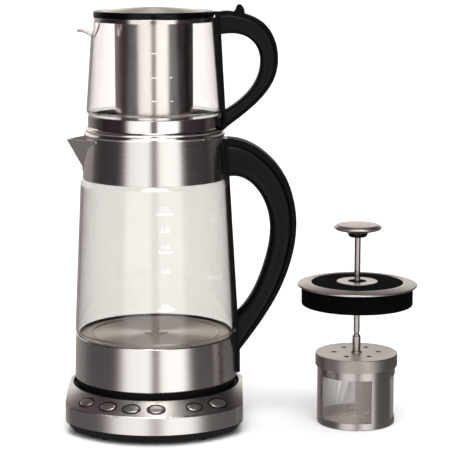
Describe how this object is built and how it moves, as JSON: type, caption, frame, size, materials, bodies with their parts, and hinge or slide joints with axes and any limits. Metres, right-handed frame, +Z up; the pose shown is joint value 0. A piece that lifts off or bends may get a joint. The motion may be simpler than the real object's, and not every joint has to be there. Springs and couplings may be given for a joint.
{
  "type": "automatic tea maker",
  "caption": "Glass kettle on a power base with sloping button panel, carrying a glass teapot with infuser and flip lid; beside it a tea basket on a rod with a floating lid.",
  "frame": {"origin": "on the table under the middle of the whole set", "axes": "+Z up, -Y towards the button panel (front), +X towards the handles and the tea basket"},
  "size_m": [0.313, 0.1806, 0.3748],
  "materials": {
    "brushed_steel": "brushed",
    "polished_steel": "polished",
    "satin_steel": "satin",
    "glass": "clear",
    "black_satin": "satin",
    "black_gloss": "gloss",
    "pan_plastic": "matt",
    "button_plastic": "satin",
    "silicone": "matt",
    "black_rubber": "matt",
    "brass": "plain",
    "element_aluminium": "cast",
    "board": "matt"
  },
  "bodies": {
    "base": {"base_cover": "brushed_steel", "base_pan": "pan_plastic", "base_feet": "black_rubber", "base_tray": "black_satin", "base_screws": "satin_steel", "base_plug": "black_satin", "mains_gland": "pan_plastic", "control_board": "board"},
    "contact": {"contact_ring": "brass"},
    "kettle": {"kettle_base_ring": "brushed_steel", "kettle_bottom_cover": "black_satin", "kettle_socket": "black_satin", "heating_plate": "satin_steel", "heating_element": "element_aluminium", "temperature_sensor": "element_aluminium", "lower_seal": "silicone", "kettle_glass": "glass", "upper_seal": "silicone", "neck_ring": "brushed_steel", "kettle_spout": "brushed_steel", "neck_collar": "polished_steel", "kettle_handle_frame": "black_gloss", "kettle_handle_grip": "black_satin", "kettle_handle_spine": "black_gloss", "kettle_handle_screws": "satin_steel"},
    "teapot": {"pot_base_band": "polished_steel", "pot_glass": "glass", "tea_infuser": "polished_steel", "infuser_flange": "polished_steel", "pot_handle_frame": "black_gloss", "pot_handle_grip": "black_satin", "pot_handle_spine": "black_gloss", "hinge_pin": "polished_steel"},
    "lid": {"lid_rim": "black_gloss", "lid_dome": "brushed_steel", "lid_lever": "black_gloss"},
    "basket": {"basket_frame": "polished_steel", "basket_mesh": "satin_steel", "basket_strainer": "satin_steel"},
    "plunger": {"basket_cap": "polished_steel", "rod_socket": "polished_steel", "plunger_rod": "polished_steel", "plunger_knob": "polished_steel", "knob_collar": "black_gloss"},
    "float_lid": {"float_skirt": "black_satin", "float_rim": "polished_steel", "float_washer": "polished_steel", "float_grommet": "black_rubber"},
    "button_warm": {"button_warm": "button_plastic"},
    "button_coffee": {"button_coffee": "button_plastic"},
    "button_tea": {"button_tea": "button_plastic"},
    "button_boil": {"button_boil": "button_plastic"},
    "button_start": {"button_start": "button_plastic"},
    "button_power": {"button_power": "button_plastic"}
  },
  "joints": [
    {"name": "kettle_swivel", "type": "hinge", "parent": "base", "child": "contact", "pos_m": [-0.078, 0.0055, 0.038], "axis": [0, 0, 1], "continuous": true},
    {"name": "kettle_lift", "type": "slide", "parent": "contact", "child": "kettle", "axis": [0, 0, 1], "range_m": [0, 0.15]},
    {"name": "teapot_lift", "type": "slide", "parent": "kettle", "child": "teapot", "axis": [0, 0, 1], "range_m": [0, 0.12]},
    {"name": "teapot_lid_hinge", "type": "hinge", "parent": "teapot", "child": "lid", "pos_m": [-0.012, 0.0055, 0.3646], "axis": [0, 1, 0], "range_deg": [0, 62]},
    {"name": "basket_lift", "type": "slide", "parent": "base", "child": "basket", "axis": [0, 0, 1], "range_m": [0, 0.15]},
    {"name": "basket_cap_lift", "type": "slide", "parent": "basket", "child": "plunger", "axis": [0, 0, 1], "range_m": [0, 0.08]},
    {"name": "float_lid_slide", "type": "slide", "parent": "plunger", "child": "float_lid", "axis": [0, 0, 1], "range_m": [-0.039, 0.039]},
    {"name": "button_warm_press", "type": "slide", "parent": "base", "child": "button_warm", "axis": [0.2974, 0.3134, -0.9018], "range_m": [0, 0.0012], "stiffness_N_per_m": 600, "springref_m": -0.001},
    {"name": "button_coffee_press", "type": "slide", "parent": "base", "child": "button_coffee", "axis": [0.1975, 0.3843, -0.9018], "range_m": [0, 0.0012], "stiffness_N_per_m": 600, "springref_m": -0.001},
    {"name": "button_tea_press", "type": "slide", "parent": "base", "child": "button_tea", "axis": [0.0928, 0.422, -0.9018], "range_m": [0, 0.0012], "stiffness_N_per_m": 600, "springref_m": -0.001},
    {"name": "button_boil_press", "type": "slide", "parent": "base", "child": "button_boil", "axis": [-0.0166, 0.4318, -0.9018], "range_m": [0, 0.0012], "stiffness_N_per_m": 600, "springref_m": -0.001},
    {"name": "button_start_press", "type": "slide", "parent": "base", "child": "button_start", "axis": [-0.1826, 0.3916, -0.9018], "range_m": [0, 0.0012], "stiffness_N_per_m": 600, "springref_m": -0.001},
    {"name": "button_power_press", "type": "slide", "parent": "base", "child": "button_power", "axis": [-0.2852, 0.3246, -0.9018], "range_m": [0, 0.0012], "stiffness_N_per_m": 600, "springref_m": -0.001}
  ]
}
